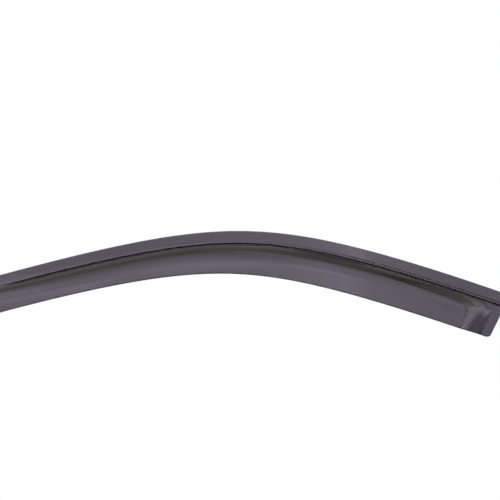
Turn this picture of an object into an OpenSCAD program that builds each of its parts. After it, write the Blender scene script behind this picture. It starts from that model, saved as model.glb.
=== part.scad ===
// Window rain deflector for a car's left front door: one moulded sheet of smoked acrylic.
// All sizes are in millimetres. +X points to the rear of the car, +Z up, and the outer face
// looks to -Y. Outlines are drawn in the side view, and depths are measured across the car.
// The origin is on the back of the flange, midway across its bonding band, at the bend's middle.

/* [Outline in the side view] */
// Length of the crease from the middle of the bend to the rear end wall
rear_len = 448; // [300:1:600]
// Length of the crease from the middle of the bend to the front tip of the hollow
front_len = 572; // [400:1:700]
// Lean of the rear end from square to the crease, forward at the foot
rear_rake = 14; // [-5:1:20]
// Length over which the sheet leans into that rake
rake_len = 150; // [80:5:250]
// Angle through which the crease turns down to the front
bend_angle = 27; // [10:0.5:40]
// Distance over which the bend eases out on each side of its middle
bend_ease = 170; // [100:5:260]
// Radius of the slight arc that both legs keep
leg_radius = 6400; // [3000:100:20000]
// Place along the crease where the blade and the flange are midway in their taper
taper_middle = -35; // [-150:5:150]
// Distance over which the taper eases out on each side of its middle
taper_ease = 250; // [100:10:400]

/* [Window glass that it fits] */
// Lean of the glass from the vertical, inboard at the top
glass_lean = 22; // [0:0.5:35]
// Radius of the glass in its upright section
glass_barrel_r = 1300; // [800:50:4000]
// Radius of the glass along the car
glass_bow_r = 6000; // [2500:100:20000]

/* [Sheet] */
// Thickness of the acrylic sheet
sheet_t = 3; // [2:0.1:4]

/* [Flange] */
// Width of the flange above the crease, at the front
flange_front = 20.4; // [16:0.1:30]
// Width of the flange above the crease, at the rear
flange_rear = 24.9; // [16:0.1:35]
// Depth of the step from the flange's face down to the crease, as deep as the bonding tape
step_depth = 1.2; // [0.4:0.1:2]
// Width of the step's sloping face
step_w = 5.4; // [3:0.1:7]
// Height of the stiffening bead along the top of the step
bead_h = 0.6; // [0.2:0.1:1]
// Width of the bead on each side of its top
bead_w = 1.8; // [1:0.1:3]
// Width of the flat flange beyond the hollow at each end
end_flange_w = 19; // [14:0.5:30]
// Radius of the upper outer corners
top_corner_r = 18; // [4:0.5:25]
// Radius of the lower outer corners
low_corner_r = 8; // [3:0.5:14]

/* [Blade] */
// Height of the hollow blade below the crease, at the front
blade_front = 38.1; // [30:0.1:55]
// Height of the hollow blade below the crease, at the rear
blade_rear = 57.6; // [40:0.1:75]
// Height of the riser, the steep face between the crease and the bend
riser_h = 12.7; // [9:0.1:18]
// Depth that the riser stands out at the bend
riser_depth = 10.3; // [7:0.1:16]
// Hollowness of the riser: 1 is flat, and a higher value bows it inwards
riser_curve = 1.3; // [1:0.05:1.8]
// Crispness of the bend between the riser and the panel
bend_crispness = 22; // [4:1:24]
// Height over which the panel rolls over below the bend
roll_len = 20; // [12:0.5:30]
// Depth that the panel gains as it rolls over
roll_depth = 3.9; // [1:0.1:7]
// Suddenness of the roll: a higher value brings more of it close to the bend
roll_curve = 2.4; // [1.5:0.1:4]
// Depth that the panel gains for each millimetre down to its free edge
blade_flare = 0.13; // [0:0.01:0.3]

/* [End walls] */
// Length of the end wall that closes the hollow at the rear
rear_wall_len = 48; // [30:1:80]
// Length of the end wall that closes the hollow at the front
front_wall_len = 60; // [30:1:90]
// Fullness of the end walls: 1 is a flat ramp, and a higher value is steeper at its foot
wall_curve = 1.6; // [1:0.05:2.5]
// Radius of the panel's upper corners, seen from the side
panel_corner_r = 18; // [8:1:36]

/* [Front tip] */
// Length over which the crease sweeps down towards the free edge
nose_len = 110; // [70:5:200]
// Height of the hollow that is left where the crease has swept down
tip_h = 14; // [10:0.5:20]
// Height that the riser still has at the tip
tip_riser_h = 3; // [2:0.5:8]
// Length over which the riser fades towards the tip
riser_fade_len = 330; // [150:10:450]

/* [Hidden] */

front_end = -front_len - end_flange_w;
rear_end = rear_len + end_flange_w;

// Rows of the grid in each stretch of the length, and columns in each band of the section
end_rows = 5;
nose_rows = 16;
front_rows = 28;
rear_rows = 22;
wall_rows = 14;
flange_cols = 3;
step_cols = 8;
riser_cols = 4;
bend_cols = 3;
panel_cols = 7;

// Shares of the riser's height between which the bend has its closer columns
bend_from = 0.8;
bend_to = 1.2;

// Crowds the panel's columns towards the bend
panel_grading = 1.3;

// Least width that rounding leaves of a straight edge or a flat face
least_w = 1;

function mix(a, b, f) = a + (b - a) * f;
function clamp(x) = max(0, min(1, x));
function ease(x) = x * x * (3 - 2 * x);

// Runs smoothly from 0 far before zero to 1 far after it
function s_curve(x) = 1 / (1 + exp(-2 * x));

// Direction of the crease in the side view, in degrees above the horizontal
function heading(s) = bend_angle * (1 - s_curve(s / bend_ease)) - s / leg_radius * 180 / PI;
function along(s) = [cos(heading(s)), sin(heading(s))];
function across(s) = [-sin(heading(s)), cos(heading(s))];

// Direction of the grid's rows: square to the crease, and leaning into the rake at the rear
function lean(s) = rear_rake * ease(clamp((s - rear_len + rake_len) / rake_len));
function row_way(s) = across(s) + tan(lean(s)) * along(s);

// Widths above and below the crease, with the taper from the rear to the front
function taper(s) = s_curve((s - taper_middle) / taper_ease);
function flange_w(s) = mix(flange_front, flange_rear, taper(s));
function blade_h(s) = mix(blade_front, blade_rear, taper(s));

// How far the crease has swept down at the front, from 0 to 1
function nose(s) = ease(clamp((nose_len - front_len - s) / nose_len));
function crease_t(s) = -(blade_h(s) - tip_h) * nose(s);

// What a rounded outer corner takes off the width near the two ends
function from_end(s) = min(s - front_end, rear_end - s);
function corner_cut(r, e) = e < r ? r - sqrt(r * r - (r - e) * (r - e)) : 0;
bead_top = step_w + bead_w;
function top_r(s) = min(top_corner_r, flange_w(s) - bead_top - least_w);
low_r = min(low_corner_r, tip_h - least_w);
function top_t(s) = flange_w(s) - corner_cut(top_r(s), from_end(s));
function low_t(s) = -blade_h(s) + corner_cut(low_r, from_end(s));

// Places along the crease where the grid has its rows
function spread(a, b, n) = [for (i = [0:n - 1]) mix(a, b, i / n)];
stations = concat(
    [for (i = [0:end_rows - 1]) front_end + end_flange_w * (1 - cos(90 * i / end_rows))],
    spread(-front_len, nose_len - front_len, nose_rows),
    spread(nose_len - front_len, 0, front_rows),
    spread(0, rear_len - rear_wall_len - panel_corner_r, rear_rows),
    spread(rear_len - rear_wall_len - panel_corner_r, rear_len, wall_rows),
    [for (i = [0:end_rows]) rear_len + end_flange_w * sin(90 * i / end_rows)]
);
rows = len(stations);
middle_row = end_rows + nose_rows + front_rows;

// The crease in the side view, stepped from row to row along its heading
function hop(i) = i + 1 < rows
    ? (stations[i + 1] - stations[i]) * along((stations[i] + stations[i + 1]) / 2)
    : [0, 0];
crease = [for (i = 0, p = [0, 0]; i < rows; p = p + hop(i), i = i + 1) p];

// The origin's place beside the crease, midway across the bonding band
bond_t = (flange_w(0) + step_w) / 2;
start = crease[middle_row] + bond_t * across(0);

// The glass leans inboard and bulges outboard, so its depth follows from the side view
function glass_y(p) = p[1] * tan(glass_lean)
    + p[1] * p[1] / (2 * glass_barrel_r)
    + p[0] * p[0] / (2 * glass_bow_r);

// The riser keeps its slope where it fades towards the tip
function riser_share(s) = mix(tip_riser_h / riser_h, 1, ease(clamp((s + front_len) / riser_fade_len)));
function bend_down(s) = riser_h * riser_share(s);
function bend_depth(s) = riser_depth * riser_share(s);

// Depth of the riser and of the panel at a distance down from the crease
function riser(down, s) = bend_depth(s) * pow(down / bend_down(s), riser_curve);
function rolled(beyond) = roll_depth * (1 - pow(max(1 - beyond / roll_len, 0), roll_curve));
roll_slope = blade_flare + roll_depth * roll_curve / roll_len;
function panel(beyond, s) = beyond < 0
    ? bend_depth(s) * exp(roll_slope * beyond / bend_depth(s))
    : bend_depth(s) + blade_flare * beyond + rolled(beyond);

// Whichever of two depths is lower, blended where they cross
function blend_low(a, b) = pow(pow(a, -bend_crispness) + pow(b, -bend_crispness), -1 / bend_crispness);
function section(down, s) = down <= 0 ? 0 : blend_low(riser(down, s), panel(down - bend_down(s), s));

// Share of the section's depth that an end wall leaves at a distance from its foot
function wall_share(from_foot, beyond, wall_len) =
    let (len = wall_len + corner_cut(panel_corner_r, max(beyond, 0)))
    1 - pow(1 - clamp(from_foot / len), wall_curve);

// Depth of the face below the crease, and that of the step and its bead above it
function hollow_depth(s, down) = section(down, s)
    * wall_share(s + front_len, down - bend_down(s), front_wall_len)
    * wall_share(rear_len - s, down - bend_down(s), rear_wall_len);
function step_face(up) = -step_depth * (1 - ease(clamp(up / step_w)));
function bead(up) = abs(up - step_w) < bead_w ? bead_h * (1 + cos(180 * (up - step_w) / bead_w)) / 2 : 0;

// Depth of the outer face from the flange's face, without and with the bead
function plain_depth(s, t) = t > crease_t(s)
    ? step_face(t - crease_t(s))
    : hollow_depth(s, crease_t(s) - t) - step_depth;
function face_depth(s, t) = plain_depth(s, t) + bead(t - crease_t(s));

// Distances from the crease where row s has its columns, from the top edge to the free edge
function bend_at(s) = min(bend_down(s), (crease_t(s) - low_t(s)) / 2);
function columns(s) = let (fold = crease_t(s), bend = bend_at(s)) concat(
    spread(top_t(s), fold + bead_top, flange_cols),
    spread(fold + bead_top, fold, step_cols),
    spread(fold, fold - bend_from * bend, riser_cols),
    spread(fold - bend_from * bend, fold - bend_to * bend, bend_cols),
    [for (j = [0:panel_cols]) mix(fold - bend_to * bend, low_t(s), pow(j / panel_cols, panel_grading))]
);
cols = flange_cols + step_cols + riser_cols + bend_cols + panel_cols + 1;

// A point of the outer face on row i, for a given depth out from the flange's face
sheet_depth = sheet_t / cos(glass_lean);
function face_point(i, t, depth) =
    let (p = crease[i] + t * row_way(stations[i]) - start)
    [p[0], glass_y(p) - sheet_depth - depth, p[1]];

// The outer face as a grid of points, and the same grid without the bead
places = [for (s = stations) columns(s)];
outer = [for (i = [0:rows - 1]) [for (t = places[i]) face_point(i, t, face_depth(stations[i], t))]];
plain = [for (i = [0:rows - 1]) [for (t = places[i]) face_point(i, t, plain_depth(stations[i], t))]];

// The inner face lies one sheet thickness behind the plain one, square to the surface
function unit(v) = v / norm(v);
function normal(i, j) = unit(cross(
    plain[min(i + 1, rows - 1)][j] - plain[max(i - 1, 0)][j],
    plain[i][max(j - 1, 0)] - plain[i][min(j + 1, cols - 1)]
));
inner = [for (i = [0:rows - 1]) [for (j = [0:cols - 1]) plain[i][j] - sheet_t * normal(i, j)]];

// Numbers of the points of the outer face and of the back, in one list after the other
function flatten(lists) = [for (list = lists) each list];
function face(i, j) = i * cols + j;
function back(i, j) = rows * cols + face(i, j);

// Two triangles for the four-sided cell between corners a, b, c and d
function cell(a, b, c, d) = [[a, b, c], [a, c, d]];

last_row = rows - 1;
last_col = cols - 1;
outer_faces = [for (i = [0:last_row - 1], j = [0:last_col - 1])
    each cell(face(i, j), face(i + 1, j), face(i + 1, j + 1), face(i, j + 1))];
inner_faces = [for (i = [0:last_row - 1], j = [0:last_col - 1])
    each cell(back(i, j), back(i, j + 1), back(i + 1, j + 1), back(i + 1, j))];
long_edges = [for (i = [0:last_row - 1]) each concat(
    cell(face(i, 0), back(i, 0), back(i + 1, 0), face(i + 1, 0)),
    cell(face(i, last_col), face(i + 1, last_col), back(i + 1, last_col), back(i, last_col))
)];
end_edges = [for (j = [0:last_col - 1]) each concat(
    cell(face(0, j), face(0, j + 1), back(0, j + 1), back(0, j)),
    cell(face(last_row, j), back(last_row, j), back(last_row, j + 1), face(last_row, j + 1))
)];

// The one moulded sheet: flange, bead, step, riser, rolled panel, end walls and end flanges
module deflector() {
    color([0.16, 0.15, 0.18])
        polyhedron(
            points = concat(flatten(outer), flatten(inner)),
            faces = concat(outer_faces, inner_faces, long_edges, end_edges),
            convexity = 6
        );
}

deflector();
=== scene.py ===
import math
import bpy
import numpy as np
from mathutils import Matrix, Vector


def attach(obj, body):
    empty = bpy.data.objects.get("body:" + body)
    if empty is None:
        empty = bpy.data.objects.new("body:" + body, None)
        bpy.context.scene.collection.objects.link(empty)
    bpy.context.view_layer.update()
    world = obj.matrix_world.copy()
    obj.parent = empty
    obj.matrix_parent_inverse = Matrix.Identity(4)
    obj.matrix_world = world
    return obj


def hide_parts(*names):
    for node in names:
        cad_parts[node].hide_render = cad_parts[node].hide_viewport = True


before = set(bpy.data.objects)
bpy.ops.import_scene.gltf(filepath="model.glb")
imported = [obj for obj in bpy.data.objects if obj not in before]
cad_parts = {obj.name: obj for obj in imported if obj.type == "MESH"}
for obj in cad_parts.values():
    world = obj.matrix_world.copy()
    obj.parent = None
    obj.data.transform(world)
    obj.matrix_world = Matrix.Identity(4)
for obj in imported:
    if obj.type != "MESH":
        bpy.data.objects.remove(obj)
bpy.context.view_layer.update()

mm = 0.001

print("scene: packed model loaded")

# The deflector's sizes in millimetres, as in the part's source.
# s runs along the crease from the middle of the bend, t runs up from the crease in the side view.
deflectorSettings = {
    "outline": {
        "rearLen": 448, "frontLen": 572,          # crease, each way from the middle of the bend
        "bendAngle": 27, "bendEase": 170,         # turn down to the front, and how far it eases out
        "legRadius": 6400,                        # slight arc that both legs keep
        "rearRake": 14, "rakeLen": 150,           # lean of the rear end, and the length that it spreads over
        "taperMiddle": -35, "taperEase": 250,     # where the widths change from the front's to the rear's
        "beyondEnds": 5, "creaseSteps": 4000,     # how far and how finely the crease's line is worked out
    },
    "glass": {"lean": 22, "barrelR": 1300, "bowR": 6000},    # its lean in degrees, and its radii across and along
    "flange": {
        "front": 20.4, "rear": 24.9,              # width above the crease
        "stepDepth": 1.2, "stepW": 5.4,           # room for the bonding tape
        "beadTop": 7.6,
        "endW": 19, "topCornerR": 18, "lowCornerR": 8,
        "leastW": 1,                              # what a rounded corner leaves straight above the bead
    },
    "blade": {
        "front": 38.1, "rear": 57.6,              # height below the crease
        "riserH": 12.7, "riserDepth": 10.3, "riserCurve": 1.3,    # from the crease in to the bend
        "rollLen": 20, "rollDepth": 3.9, "rollCurve": 2.4,    # the panel's rounded upper part
        "flare": 0.13,                            # depth gained per mm down the panel
        "crispness": 22,                          # of the bend between the riser and the panel
        "endWallLen": 48, "wallCurve": 1.6, "cornerR": 18,        # closes the hollow at the rear
    },
    "tip": {
        "noseLen": 110, "height": 14,             # where the crease sweeps down, and the blade left at its end
        "wallLen": 60,
        "riserH": 3, "fadeLen": 330,              # what the riser fades to, and over what length
    },
    "sheet": {
        "thickness": 3,
        "edgeR": 1.3, "edgeSteps": 5,             # flame-polished rim
        "rowStep": 4.0, "closeRowStep": 1.1, "fineRowStep": 0.35,
        "fineRows": (2, 3.2),                     # fine rows at an end wall's foot, wall side and flange side
        "cornerSteps": 20,
        "flangeCols": 7, "stepCols": 22, "footCols": 5, "bendCols": 26, "panelCols": 38,
        "beadSpare": 0.5, "bendSpare": 4,         # what the step's and the bend's columns take beyond them
        "beadShare": 0.9, "footShare": 0.2, "bendShare": 0.8,    # the most that they take at the narrow ends
        "normalReach": 0.05,                      # mm each way
    },
    "relief": {
        # the outer face at the crease: distance up, depth from the flange's face and slope; a steep drop
        # under a bead, and at the rear a thin groove above it
        "beadFront": [(-0.7, -1.64, 0.62), (1.7, -0.15, 0.62), (2.3, 0.1, 0.26), (4.4, 0.58, 0.2),
                      (4.8, 0.6, -0.05), (5.5, 0.38, -0.42), (6.3, 0.06, -0.32), (6.8, 0, 0)],
        "beadRear": [(-0.7, -1.64, 0.55), (2.6, 0.17, 0.55), (3.1, 0.36, 0.24), (4.4, 0.67, 0.2),
                     (4.7, 0.66, -0.6), (5.15, -0.05, -2.0), (5.6, -0.8, 0.2), (5.95, -0.6, 0.9),
                     (6.6, -0.05, 0.75), (6.95, 0.05, 0), (7.6, 0, 0)],
        "beadDip": [(-0.7, -2.5, 0.9), (1.2, -0.8, 0.8), (2.6, 0.17, 0.55)],    # where the line is deepest
        "beadTip": [(-0.7, -1.25, 0.02), (1.0, -1.12, 0.1), (4.0, -0.57, 0.19), (6.5, -0.12, 0.16),
                    (7.6, 0, 0)],
        "beadFade": (-465, 195),                  # from the tip's profile to the front's: start and length
        "dipPlace": 150, "dipHalf": 85,           # the deepest stretch: its middle and half its length
        "grooveW": (1.2, 5.2),                    # over which the riser comes out of the line, plain and deepest
        "endLipHeight": 0.98, "endLipW": (14, 2.4),    # at the end walls' feet, wall side and flange side
        # chill marks that forming leaves on the rear end wall: wavy lines that lean along it
        "rippleDepth": 0.09, "rippleLen": 9, "rippleLean": 1.3,
        "rippleWave": 1.3, "rippleWaveLen": 5.1,
        "ripplePlace": 0.72, "rippleSpread": 0.2,      # in shares of the wall's length up from its foot
    },
}
outline, glass, flange = (deflectorSettings[k] for k in ("outline", "glass", "flange"))
blade, tip, sheet, relief = (deflectorSettings[k] for k in ("blade", "tip", "sheet", "relief"))

frontEnd = -outline["frontLen"] - flange["endW"]
rearEnd = outline["rearLen"] + flange["endW"]


def mix(a, b, f):
    return a + (b - a) * f


def ease(x):
    x = np.clip(x, 0, 1)
    return x * x * (3 - 2 * x)


def sCurve(x):
    return 1 / (1 + np.exp(-2 * x))


def heading(s):
    turn = outline["bendAngle"] * (1 - sCurve(s / outline["bendEase"]))
    return np.radians(turn) - s / outline["legRadius"]


def taper(s):
    return sCurve((s - outline["taperMiddle"]) / outline["taperEase"])


def flangeW(s):
    return mix(flange["front"], flange["rear"], taper(s))


def bladeH(s):
    return mix(blade["front"], blade["rear"], taper(s))


def nose(s):
    return ease((tip["noseLen"] - outline["frontLen"] - s) / tip["noseLen"])


def creaseT(s):
    return -(bladeH(s) - tip["height"]) * nose(s)


def cornerCut(r, e):
    inside = np.clip(r - e, 0, r)
    return r - np.sqrt(r * r - inside * inside)


def fromEnd(s):
    return np.minimum(s - frontEnd, rearEnd - s)


def topT(s):
    r = np.minimum(flange["topCornerR"], flangeW(s) - flange["beadTop"] - flange["leastW"])
    return flangeW(s) - cornerCut(r, fromEnd(s))


def lowT(s):
    return -bladeH(s) + cornerCut(flange["lowCornerR"], fromEnd(s))


# The crease in the side view, stepped finely along its heading
creaseS = np.linspace(frontEnd - outline["beyondEnds"], rearEnd + outline["beyondEnds"],
                      outline["creaseSteps"] + 1)
creaseMid = (creaseS[1:] + creaseS[:-1]) / 2
creaseX = np.concatenate([[0], np.cumsum(np.cos(heading(creaseMid)) * np.diff(creaseS))])
creaseZ = np.concatenate([[0], np.cumsum(np.sin(heading(creaseMid)) * np.diff(creaseS))])
bondT = (flangeW(0) + flange["stepW"]) / 2
originX = np.interp(0, creaseS, creaseX) - bondT * np.sin(heading(0))
originZ = np.interp(0, creaseS, creaseZ) + bondT * np.cos(heading(0))


def sideView(s, t):
    # rows run square to the crease, and lean into the rake at the rear
    toRear = ease((s - outline["rearLen"] + outline["rakeLen"]) / outline["rakeLen"])
    lean = np.tan(np.radians(outline["rearRake"] * toRear))
    x = np.interp(s, creaseS, creaseX) + t * (lean * np.cos(heading(s)) - np.sin(heading(s))) - originX
    z = np.interp(s, creaseS, creaseZ) + t * (lean * np.sin(heading(s)) + np.cos(heading(s))) - originZ
    return x, z


def glassY(x, z):
    lean = math.tan(math.radians(glass["lean"]))
    return z * lean + z * z / (2 * glass["barrelR"]) + x * x / (2 * glass["bowR"])


def riserShare(s):
    # the riser keeps its slope where it fades towards the tip
    return mix(tip["riserH"] / blade["riserH"], 1, ease((s + outline["frontLen"]) / tip["fadeLen"]))


def sectionDepth(s, down):
    # depth below the crease: the riser curves in to the bend, and the panel rolls out from it
    down = np.maximum(down, 1e-6)
    bendDown, bendDepth = blade["riserH"] * riserShare(s), blade["riserDepth"] * riserShare(s)
    beyond = down - bendDown
    riser = bendDepth * (down / bendDown) ** blade["riserCurve"]
    roll = 1 - np.clip(1 - beyond / blade["rollLen"], 0, 1) ** blade["rollCurve"]
    panel = bendDepth + blade["flare"] * beyond + blade["rollDepth"] * roll
    slope = blade["flare"] + blade["rollDepth"] * blade["rollCurve"] / blade["rollLen"]
    above = bendDepth * np.exp(slope * np.minimum(beyond, 0) / bendDepth)
    panel = np.where(beyond < 0, above, panel)
    power = blade["crispness"]
    return (riser ** -power + panel ** -power) ** (-1 / power)


def endWall(fromFoot, beyond, wallLen):
    # share of the depth that an end wall leaves, with the panel's corner rounded
    length = wallLen + cornerCut(blade["cornerR"], np.maximum(beyond, 0))
    return 1 - (1 - np.clip(fromFoot / length, 0, 1)) ** blade["wallCurve"]


def faceDepth(s, t):
    # depth of the plain formed sheet out from the flange's face
    up = t - creaseT(s)
    beyond = -up - blade["riserH"] * riserShare(s)
    hollow = sectionDepth(s, -up) * endWall(outline["rearLen"] - s, beyond, blade["endWallLen"])
    hollow = hollow * endWall(s + outline["frontLen"], beyond, tip["wallLen"])
    step = -flange["stepDepth"] * (1 - ease(up / flange["stepW"]))
    return np.where(up > 0, step, hollow - flange["stepDepth"])


def beadDepth(up, knots):
    # cubic pieces through the bead's points, each with its slope
    depth = np.zeros_like(up)
    for (u0, d0, m0), (u1, d1, m1) in zip(knots[:-1], knots[1:]):
        w = u1 - u0
        f = (up - u0) / w
        piece = d0 * (1 + 2 * f) * (1 - f) ** 2 + d1 * f * f * (3 - 2 * f)
        piece = piece + w * (m0 * f * (1 - f) ** 2 - m1 * f * f * (1 - f))
        depth = np.where((f >= 0) & (f < 1), piece, depth)
    return depth


def dipShare(s):
    # how far the crease's line is widened and deepened, in the stretch behind the bend
    return ease(1 - np.abs(s - relief["dipPlace"]) / relief["dipHalf"])


def creaseDepth(s, up):
    start, length = relief["beadFade"]
    bead = mix(beadDepth(up, relief["beadFront"]), beadDepth(up, relief["beadRear"]), taper(s))
    dip = np.where(up < relief["beadDip"][-1][0], beadDepth(up, relief["beadDip"]), bead)
    bead = mix(bead, dip, dipShare(s))
    return mix(beadDepth(up, relief["beadTip"]), bead, ease((s - start) / length))


def finishedDepth(s, t):
    # the outer face with its crisp lines, which the inner face doesn't have
    up = t - creaseT(s)
    lineUp = np.full_like(up, relief["beadFront"][0][0])
    groove = faceDepth(s, creaseT(s) + lineUp) - creaseDepth(s, lineUp)
    grooveW = mix(*relief["grooveW"], dipShare(s))
    low = faceDepth(s, t) - groove * (1 - ease((lineUp - up) / grooveW)) - chillMarks(s, t)
    wallSide, flangeSide = relief["endLipW"]
    for fromFoot in (outline["rearLen"] - s, s + outline["frontLen"]):
        away = np.where(fromFoot > 0, fromFoot / wallSide, -fromFoot / flangeSide)
        low = low + relief["endLipHeight"] * (1 - ease(away)) * ease((lineUp - up) / flangeSide)
    return np.where(up > lineUp, creaseDepth(s, up), low)


def chillMarks(s, t):
    # soft ripples across the rear end wall, deepest near its top
    wall = (outline["rearLen"] - s) / blade["endWallLen"]
    fade = np.exp(-((wall - relief["ripplePlace"]) / relief["rippleSpread"]) ** 2)
    along = (t - relief["rippleLean"] * s) / relief["rippleLen"]
    phase = 2 * math.pi * along + relief["rippleWave"] * np.sin(t / relief["rippleWaveLen"])
    return relief["rippleDepth"] * fade * np.sin(phase)


def outerPoint(s, t, depth=faceDepth):
    s, t = np.broadcast_arrays(np.asarray(s, float), np.asarray(t, float))
    x, z = sideView(s, t)
    sheetDepth = sheet["thickness"] / math.cos(math.radians(glass["lean"]))
    return np.stack([x, glassY(x, z) - sheetDepth - depth(s, t), z], -1)


def outerNormal(s, t):
    reach = sheet["normalReach"]
    alongSheet = outerPoint(s + reach, t) - outerPoint(s - reach, t)
    upSheet = outerPoint(s, t + reach) - outerPoint(s, t - reach)
    n = np.cross(alongSheet, upSheet)
    return n / np.linalg.norm(n, axis=-1, keepdims=True)


def stations():
    # even rows, closer over the end walls, and closest at their feet and round the corners
    inset = sheet["edgeR"]
    fine, close = sheet["fineRowStep"], sheet["closeRowStep"]
    wallSide, flangeSide = sheet["fineRows"]
    frontFoot, rearFoot = -outline["frontLen"], outline["rearLen"]
    frontStart, rearStop = frontEnd + inset, rearEnd - inset
    turn = np.radians(np.linspace(0, 90, sheet["cornerSteps"] + 1))
    frontRows = frontStart + (frontFoot - flangeSide - frontStart) * (1 - np.cos(turn))
    rearRows = rearStop - (rearStop - rearFoot - flangeSide) * (1 - np.cos(turn[::-1]))
    frontLine = np.arange(frontFoot - flangeSide, frontFoot + wallSide, fine)
    rearLine = np.arange(rearFoot - wallSide, rearFoot + flangeSide, fine)
    wallFront = np.arange(frontFoot + wallSide, frontFoot + tip["wallLen"], close)
    wallStart = rearFoot - blade["endWallLen"] - blade["cornerR"]
    wallRear = np.arange(wallStart, rearFoot - wallSide, close)
    count = int((wallStart - wallFront[-1]) / sheet["rowStep"])
    middle = np.linspace(wallFront[-1], wallStart, count)[1:-1]
    return np.concatenate([frontRows[:-1], frontLine, wallFront, middle, wallRear, rearLine, rearRows[1:]])


def columns(s):
    # from the top edge over the bead, the riser's foot and the bend to the free edge
    inset = sheet["edgeR"]
    top, low, crease = topT(s) - inset, lowT(s) + inset, creaseT(s)
    height = crease - low
    beadTop = crease + np.minimum(flange["beadTop"] + sheet["beadSpare"], (top - crease) * sheet["beadShare"])
    line = crease + relief["beadFront"][0][0]
    foot = line - np.minimum(relief["grooveW"][0], height * sheet["footShare"])
    bendDown = blade["riserH"] * riserShare(s) + sheet["bendSpare"]
    belowBend = crease - np.minimum(bendDown, height * sheet["bendShare"])
    bands = [
        (top, beadTop, sheet["flangeCols"]), (beadTop, line, sheet["stepCols"]),
        (line, foot, sheet["footCols"]), (foot, belowBend, sheet["bendCols"]),
        (belowBend, low, sheet["panelCols"]),
    ]
    rows = [mix(a, b, j / n) for a, b, n in bands for j in range(n)]
    return np.stack(rows + [low], -1)


def buildSheet(name):
    s1 = stations()
    t = columns(s1)
    s = np.repeat(s1[:, None], t.shape[1], 1)
    normal = outerNormal(s, t)
    outer = outerPoint(s, t, finishedDepth)
    inner = outerPoint(s, t) - sheet["thickness"] * normal
    rows, cols = s.shape

    # the grid's border, once round, then a rounded rim from the outer face to the inner one
    ring = [(0, j) for j in range(cols)] + [(i, cols - 1) for i in range(1, rows)]
    ring += [(rows - 1, j) for j in range(cols - 2, -1, -1)] + [(i, 0) for i in range(rows - 2, 0, -1)]
    ringI, ringJ = np.array(ring).T
    edge = outer[ringI, ringJ]
    edgeN = normal[ringI, ringJ]
    tangent = np.roll(edge, -1, 0) - np.roll(edge, 1, 0)
    outward = np.cross(edgeN, tangent)
    outward /= np.linalg.norm(outward, axis=1, keepdims=True)
    centre = edge.mean(0)
    if np.mean(np.sum(outward * (edge - centre), 1)) < 0:
        outward = -outward
    r = sheet["edgeR"]
    drop = sheet["thickness"] - 2 * r
    rings = []
    for k in range(1, sheet["edgeSteps"] + 1):
        a = math.radians(90 * k / sheet["edgeSteps"])
        rings.append(edge + outward * r * math.sin(a) - edgeN * r * (1 - math.cos(a)))
    for k in range(sheet["edgeSteps"]):
        a = math.radians(90 * k / sheet["edgeSteps"])
        rings.append(edge + outward * r * math.cos(a) - edgeN * (r + drop + r * math.sin(a)))

    points = np.concatenate([outer.reshape(-1, 3), inner.reshape(-1, 3)] + rings) * mm
    grid = np.arange(rows * cols).reshape(rows, cols)
    a, b = grid[:-1, :-1].ravel(), grid[1:, :-1].ravel()
    c, d = grid[1:, 1:].ravel(), grid[:-1, 1:].ravel()
    outerFaces = np.stack([a, d, c, b], 1)
    innerFaces = np.stack([a, b, c, d], 1) + rows * cols
    loops = [grid[ringI, ringJ]]
    loops += [2 * rows * cols + k * len(ring) + np.arange(len(ring)) for k in range(len(rings))]
    loops += [grid[ringI, ringJ] + rows * cols]
    rim = [np.stack([p, q, np.roll(q, -1), np.roll(p, -1)], 1) for p, q in zip(loops[:-1], loops[1:])]
    faces = np.concatenate([outerFaces, innerFaces] + rim)

    mesh = bpy.data.meshes.new(name)
    mesh.from_pydata(points.tolist(), [], faces.tolist())
    mesh.validate()
    mesh.shade_smooth()
    mesh.update()
    piece = bpy.data.objects.new(name, mesh)
    bpy.context.scene.collection.objects.link(piece)
    print("scene:", name, len(points), "points,", len(faces), "faces")
    return piece


def hexColour(code, alpha=1.0):
    # sRGB hex to linear, by the sRGB curve
    channels = [int(code[i:i + 2], 16) / 255 for i in (1, 3, 5)]
    linear = [c / 12.92 if c <= 0.04045 else ((c + 0.055) / 1.055) ** 2.4 for c in channels]
    return (*linear, alpha)


def addNode(tree, kind, settings=None, links=None):
    node = tree.nodes.new(kind)
    for name, value in (settings or {}).items():
        if isinstance(name, int) or name in node.inputs:
            node.inputs[name].default_value = value
        else:
            setattr(node, name, value)
    for name, source in (links or {}).items():
        tree.links.new(source, node.inputs[name])
    return node


acrylic = {
    "tint": "#635e6a", "tintShade": "#5b5661",       # smoke tint, and its slight drift over the sheet
    "driftSize": 90,                                 # mm between lighter and darker areas
    "seeThrough": 0.97, "ior": 1.49,
    "absorbTint": "#6e6627", "absorbDensity": 765,   # per metre, about 87 % lost in 3 mm
    "roughness": (0.03, 0.06),
    "smearSize": 28,                                 # mm, wiping smears
    "flowSize": 16, "flowHeight": 0.012,             # mm, faint flow of the heated sheet
}


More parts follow.
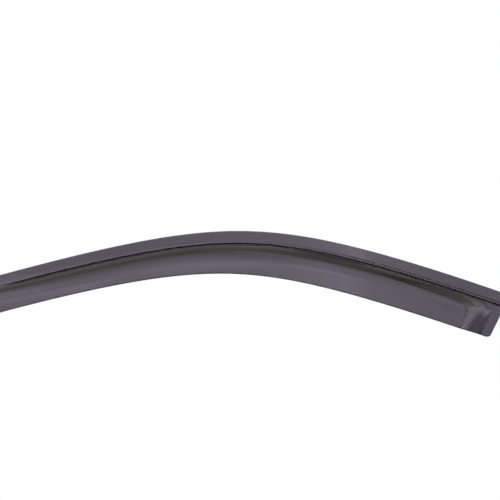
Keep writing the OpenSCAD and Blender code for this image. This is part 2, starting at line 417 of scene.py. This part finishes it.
def smokedAcrylicMoulded():
    # cast acrylic, heated and drawn over a mould: glossy and dark, with a faint flow in its shine
    material = bpy.data.materials.new("smokedAcrylicMoulded")
    material.use_nodes = True
    tree = material.node_tree
    tree.nodes.clear()
    place = addNode(tree, "ShaderNodeTexCoord").outputs["Object"]
    drift = addNode(tree, "ShaderNodeTexNoise", {"Scale": 1 / (acrylic["driftSize"] * mm), "Detail": 2.0},
                    {"Vector": place})
    # inputs 6 and 7 of a mix node are its two colours, and output 2 is the mixed one
    tint = addNode(tree, "ShaderNodeMix",
                   {"data_type": "RGBA", 6: hexColour(acrylic["tintShade"]), 7: hexColour(acrylic["tint"])},
                   {"Factor": drift.outputs["Fac"]})
    smear = addNode(tree, "ShaderNodeTexNoise", {"Scale": 1 / (acrylic["smearSize"] * mm), "Detail": 5.0},
                    {"Vector": place})
    low, high = acrylic["roughness"]
    rough = addNode(tree, "ShaderNodeMapRange", {"To Min": low, "To Max": high},
                    {"Value": smear.outputs["Fac"]})
    flow = addNode(tree, "ShaderNodeTexNoise", {"Scale": 1 / (acrylic["flowSize"] * mm), "Detail": 1.0},
                   {"Vector": place})
    bump = addNode(tree, "ShaderNodeBump", {"Strength": 1.0, "Distance": acrylic["flowHeight"] * mm},
                   {"Height": flow.outputs["Fac"]})
    surface = addNode(
        tree, "ShaderNodeBsdfPrincipled",
        {"IOR": acrylic["ior"], "Transmission Weight": acrylic["seeThrough"]},
        {"Base Color": tint.outputs[2], "Roughness": rough.outputs["Result"], "Normal": bump.outputs["Normal"]},
    )
    inside = addNode(tree, "ShaderNodeVolumeAbsorption",
                     {"Color": hexColour(acrylic["absorbTint"]), "Density": acrylic["absorbDensity"]})
    addNode(tree, "ShaderNodeOutputMaterial", None,
            {"Surface": surface.outputs["BSDF"], "Volume": inside.outputs["Volume"]})
    return material


deflector = buildSheet("smokedSheet")
deflector.data.materials.append(smokedAcrylicMoulded())
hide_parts("deflector")
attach(deflector, "root")
print("scene: deflector built")


# Studio: one big soft light in front, brightest low down, less light at the sides, pale floor far below
studio = {
    "floorZ": -1.2, "floorSize": 3, "floorColour": "#f4f4f2",
    "daylight": "#eae4fc", "ceiling": "#fff8f3", "white": "#ffffff",
    # degrees above the horizon, over the top and down behind, brightness there, and colour
    "bySlope": [(-4, 0.03, "daylight"), (1, 2.6, "daylight"), (13, 3.1, "daylight"), (20, 2.6, "daylight"),
                (25, 1.85, "daylight"), (32, 1.85, "daylight"), (42, 2.15, "daylight"), (46, 2.25, "daylight"),
                (50, 2.5, "daylight"), (55, 2.4, "daylight"), (62, 2.1, "daylight"), (70, 1.75, "daylight"),
                (77, 1.45, "daylight"), (85, 1.15, "daylight"), (91, 1.0, "ceiling"), (97, 0.82, "ceiling"),
                (102, 0.55, "ceiling"), (108, 0.45, "ceiling"), (116, 0.4, "ceiling"), (128, 0.2, "ceiling"),
                (140, 0.25, "ceiling"), (165, 0.6, "ceiling"), (176, 0.05, "ceiling")],
    # from the left to the right-hand side: cosine from rightWay, and what the brightness is multiplied by
    "rightWay": (0.857, 0.411, -0.311),
    "bySide": [(-1, 1.0), (-0.93, 1.05), (-0.905, 1.08), (-0.87, 0.9), (-0.83, 0.92), (-0.76, 1.0),
               (-0.66, 1.05), (-0.52, 0.96), (-0.45, 1.02), (-0.38, 1.16), (-0.33, 1.25), (-0.29, 1.03),
               (-0.24, 0.96), (-0.2, 0.9), (-0.14, 0.83), (-0.06, 0.87), (-0.01, 0.75), (0.03, 0.38),
               (0.06, 0.45), (0.08, 0.85), (0.12, 0.95), (0.2, 1.1), (0.27, 1.4), (0.33, 1.6), (0.38, 1.45),
               (0.43, 1.2), (0.48, 0.85), (0.54, 0.5), (0.6, 0.38), (0.7, 0.4), (0.8, 0.06), (1, 0.03)],
    # direction, and what each multiplies by, against the cosine from it
    "spots": [
        ((0.28, -0.1, 0.955), [(0.955, 1), (0.97, 1.15), (0.983, 1.48), (1, 1.5)]),         # overhead lamp
        ((-0.44, -0.75, 0.49), [(0.975, 1), (0.986, 1.12), (0.993, 1.32), (1, 1.45)]),      # left lamp
        ((0.82, -0.36, 0.445), [(0.94, 1), (0.965, 0.92), (0.985, 0.8), (1, 0.75)]),        # dark cloth
        ((0.59, -0.03, 0.807), [(0.975, 1), (0.99, 1.15), (0.996, 1.25), (1, 1.25)]),       # right lamp
        ((0.193, -0.687, 0.7), [(0.9991, 1), (0.9996, 1.15), (0.9999, 1.5), (1, 1.5)]),     # glint on the flange
        ((0.146, -0.342, 0.928), [(0.9996, 1), (0.99985, 1.3), (1, 1.3)]),                  # glint on the panel
        ((-0.525, 0.675, 0.518), [(-1, 1), (-0.1, 1), (-0.04, 1.04), (-0.015, 1.22), (0.01, 1.32),
                                  (0.035, 1.22), (0.07, 1.1), (0.15, 1.04), (0.3, 1), (1, 1)]),    # a tube's axis
    ],
    "rampTop": 4.0,                                  # brightness that a ramp's white stands for
    "lampLevel": 1.28,                               # of all that the gloss mirrors
    "plainLight": 0.9,                               # what lights matt surfaces
}


def whiteToCamera(tree):
    # what the camera and the see-through sheet see is plain white, whatever lights the object
    path = addNode(tree, "ShaderNodeLightPath")
    return addNode(tree, "ShaderNodeMath", {"operation": "MAXIMUM"},
                   {0: path.outputs["Is Camera Ray"], 1: path.outputs["Is Transmission Ray"]}).outputs[0]


def buildFloor():
    half = studio["floorSize"] / 2
    mesh = bpy.data.meshes.new("studioFloor")
    corners = [(-half, -half), (half, -half), (half, half), (-half, half)]
    mesh.from_pydata([(x, y, studio["floorZ"]) for x, y in corners], [], [(0, 1, 2, 3)])
    floor = bpy.data.objects.new("studioFloor", mesh)
    bpy.context.scene.collection.objects.link(floor)
    # rolled matt paint: it gives back soft light and mirrors nothing
    material = bpy.data.materials.new("paintedFloorMatt")
    material.use_nodes = True
    tree = material.node_tree
    tree.nodes.clear()
    matt = addNode(tree, "ShaderNodeBsdfDiffuse", {"Color": hexColour(studio["floorColour"])})
    white = addNode(tree, "ShaderNodeEmission", {"Color": hexColour(studio["white"]), "Strength": 1.0})
    blend = addNode(tree, "ShaderNodeMixShader", None,
                    {0: whiteToCamera(tree), 1: matt.outputs[0], 2: white.outputs[0]})
    addNode(tree, "ShaderNodeOutputMaterial", None, {"Surface": blend.outputs[0]})
    mesh.materials.append(material)


def brightnessRamp(tree, value, stops, most):
    # a colour ramp over the value, from the first stop to the last; its white is the brightness most
    low, high = stops[0][0], stops[-1][0]
    share = addNode(tree, "ShaderNodeMapRange", {"From Min": low, "From Max": high}, {"Value": value})
    ramp = addNode(tree, "ShaderNodeValToRGB", None, {"Fac": share.outputs["Result"]})
    marks = ramp.color_ramp.elements
    marks.remove(marks[1])
    for i, (place, brightness, *colour) in enumerate(stops):
        position = (place - low) / (high - low)
        mark = marks[0] if i == 0 else marks.new(position)
        mark.position = position
        tint = hexColour(studio[colour[0] if colour else "white"])
        mark.color = (*(c * brightness / most for c in tint[:3]), 1)
    return ramp.outputs["Color"]


def buildWorld():
    world = bpy.data.worlds.new("studioWorld")
    bpy.context.scene.world = world
    world.use_nodes = True
    tree = world.node_tree
    tree.nodes.clear()
    direction = addNode(tree, "ShaderNodeTexCoord").outputs["Generated"]
    axes = addNode(tree, "ShaderNodeSeparateXYZ", None, {"Vector": direction})
    front = addNode(tree, "ShaderNodeMath", {"operation": "MULTIPLY", 1: -1.0}, {0: axes.outputs["Y"]})
    slope = addNode(tree, "ShaderNodeMath", {"operation": "ARCTAN2"}, {0: axes.outputs["Z"], 1: front.outputs[0]})
    degrees = addNode(tree, "ShaderNodeMath", {"operation": "DEGREES"}, {0: slope.outputs[0]})
    side = addNode(tree, "ShaderNodeVectorMath", {"operation": "DOT_PRODUCT", 1: studio["rightWay"]},
                   {0: direction})
    most = studio["rampTop"]
    bySlope = brightnessRamp(tree, degrees.outputs[0], studio["bySlope"], most)
    factor = brightnessRamp(tree, side.outputs["Value"], studio["bySide"], most)
    for way, stops in studio["spots"]:
        near = addNode(tree, "ShaderNodeVectorMath", {"operation": "DOT_PRODUCT", 1: way}, {0: direction})
        spot = brightnessRamp(tree, near.outputs["Value"], stops, most)
        factor = addNode(tree, "ShaderNodeMath", {"operation": "MULTIPLY"}, {0: factor, 1: spot}).outputs[0]
        factor = addNode(tree, "ShaderNodeMath", {"operation": "MULTIPLY", 1: most}, {0: factor}).outputs[0]
    strength = addNode(tree, "ShaderNodeMath", {"operation": "MULTIPLY", 1: most * most * studio["lampLevel"]},
                       {0: factor})
    soft = addNode(tree, "ShaderNodeBackground", None, {"Color": bySlope, "Strength": strength.outputs[0]})
    white = hexColour(studio["white"])
    even = addNode(tree, "ShaderNodeBackground", {"Color": white, "Strength": studio["plainLight"]})
    plain = addNode(tree, "ShaderNodeBackground", {"Color": white, "Strength": 1.0})
    glossy = addNode(tree, "ShaderNodeLightPath").outputs["Is Glossy Ray"]
    lit = addNode(tree, "ShaderNodeMixShader", None, {0: glossy, 1: even.outputs[0], 2: soft.outputs[0]})
    blend = addNode(tree, "ShaderNodeMixShader", None,
                    {0: whiteToCamera(tree), 1: lit.outputs[0], 2: plain.outputs[0]})
    addNode(tree, "ShaderNodeOutputWorld", None, {"Surface": blend.outputs[0]})


camera = {
    "distance": 1300, "elevation": 1.82, "azimuth": 0.39, "roll": 15.19,    # mm and degrees
    "targetX": 12.9, "targetZ": -21.8,
    "pixelsPerMm": 0.5798, "imageWidth": 500,        # the photo's scale at the target
    "sensorWidth": 36, "clip": (0.01, 50),
}


def buildCamera():
    az, el, roll = (math.radians(camera[k]) for k in ("azimuth", "elevation", "roll"))
    away = Vector((-math.sin(az) * math.cos(el), -math.cos(az) * math.cos(el), math.sin(el)))
    right = (-away).cross(Vector((0, 0, 1))).normalized()
    up = right.cross(-away)
    tiltedRight = math.cos(roll) * right + math.sin(roll) * up
    tiltedUp = math.cos(roll) * up - math.sin(roll) * right
    data = bpy.data.cameras.new("photoCamera")
    data.sensor_width = camera["sensorWidth"]
    data.lens = camera["pixelsPerMm"] * camera["distance"] / camera["imageWidth"] * camera["sensorWidth"]
    data.clip_start, data.clip_end = camera["clip"]
    eye = bpy.data.objects.new("photoCamera", data)
    bpy.context.scene.collection.objects.link(eye)
    place = Vector((camera["targetX"], 0, camera["targetZ"])) + camera["distance"] * away
    turn = Matrix((tiltedRight, tiltedUp, away)).transposed().to_4x4()
    eye.matrix_world = Matrix.Translation(place * mm) @ turn
    bpy.context.scene.camera = eye


buildFloor()
buildWorld()
buildCamera()
bpy.context.scene.view_settings.view_transform = "Standard"
print("scene: studio and camera ready")
